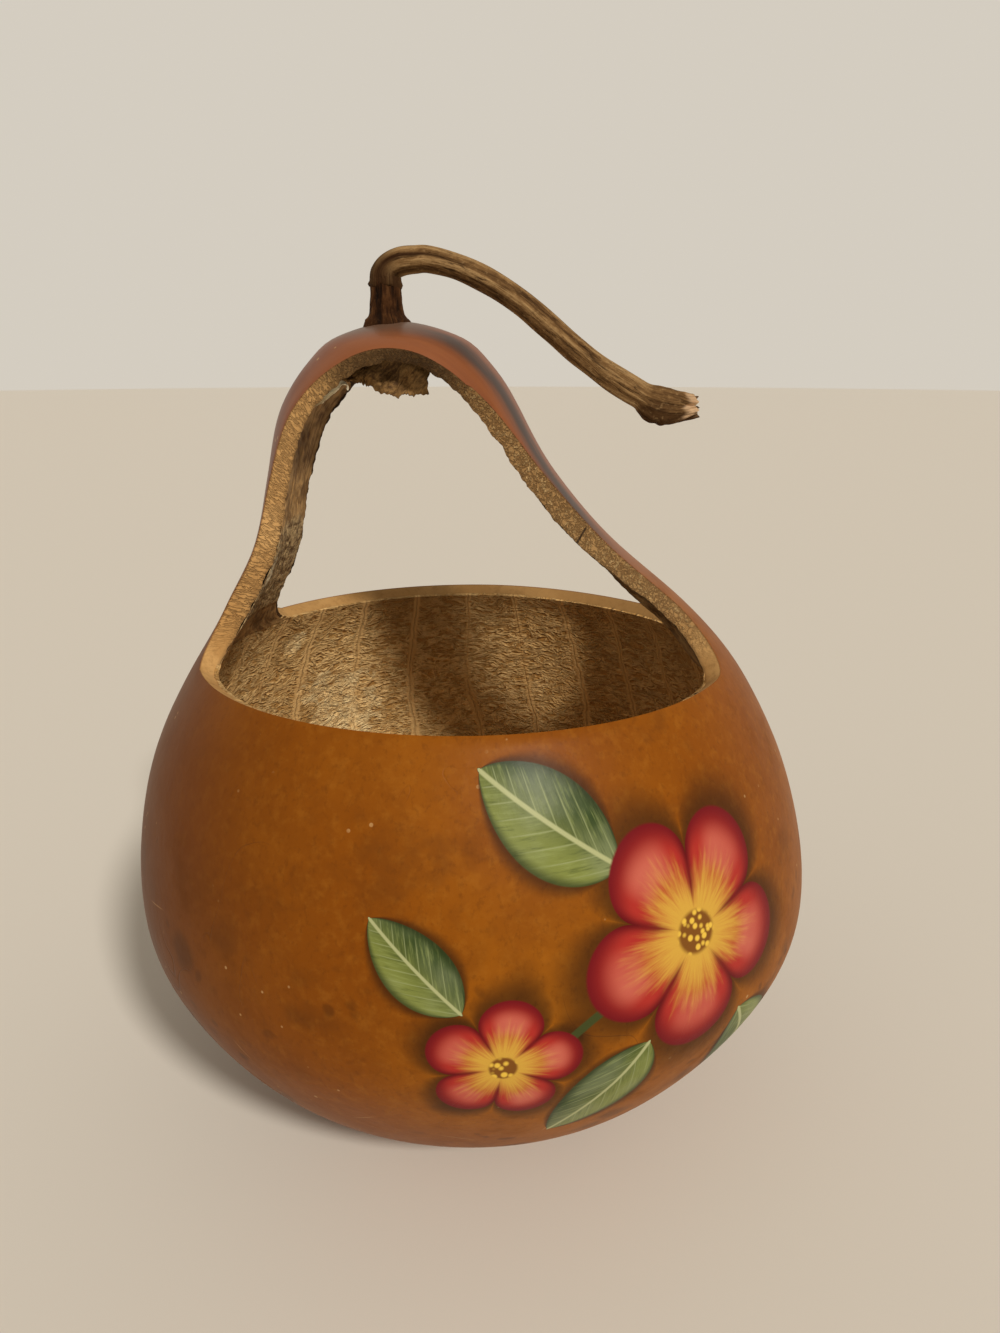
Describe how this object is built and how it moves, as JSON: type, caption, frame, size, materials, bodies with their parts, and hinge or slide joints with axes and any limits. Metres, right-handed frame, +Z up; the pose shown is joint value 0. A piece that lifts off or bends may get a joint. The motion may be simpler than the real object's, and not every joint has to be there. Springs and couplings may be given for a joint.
{
  "type": "gourd basket",
  "caption": "Dried gourd cut open at front and back into a round bowl with an arched strap handle of its own wall, papery linings inside and a curling dried stem on the crown.",
  "frame": {"origin": "centre of the flat foot that the gourd stands on, on the axis of the belly", "axes": "+Z up the gourd, X along the strap handle with the stem curling to +X, -Y out of the front opening"},
  "size_m": [0.254, 0.254, 0.321],
  "materials": {
    "gourd_skin": "waxed satin",
    "pith": "matte, crinkled",
    "left_paper": "matte",
    "right_paper": "matte",
    "membrane": "matte",
    "pale_curl": "matte",
    "dark_bark": "dry bark",
    "stalk_fibre": "dry fibrous bark",
    "old_vine": "dry, split at the end"
  },
  "bodies": {
    "root": {"gourd_shell": "gourd_skin", "pith_lining": "pith", "handle_lining_left": "left_paper", "handle_lining_right": "right_paper", "crown_membrane": "membrane", "membrane_curl": "pale_curl", "stem_base": "dark_bark", "stem_stalk": "stalk_fibre", "vine_stub": "old_vine"}
  },
  "joints": []
}
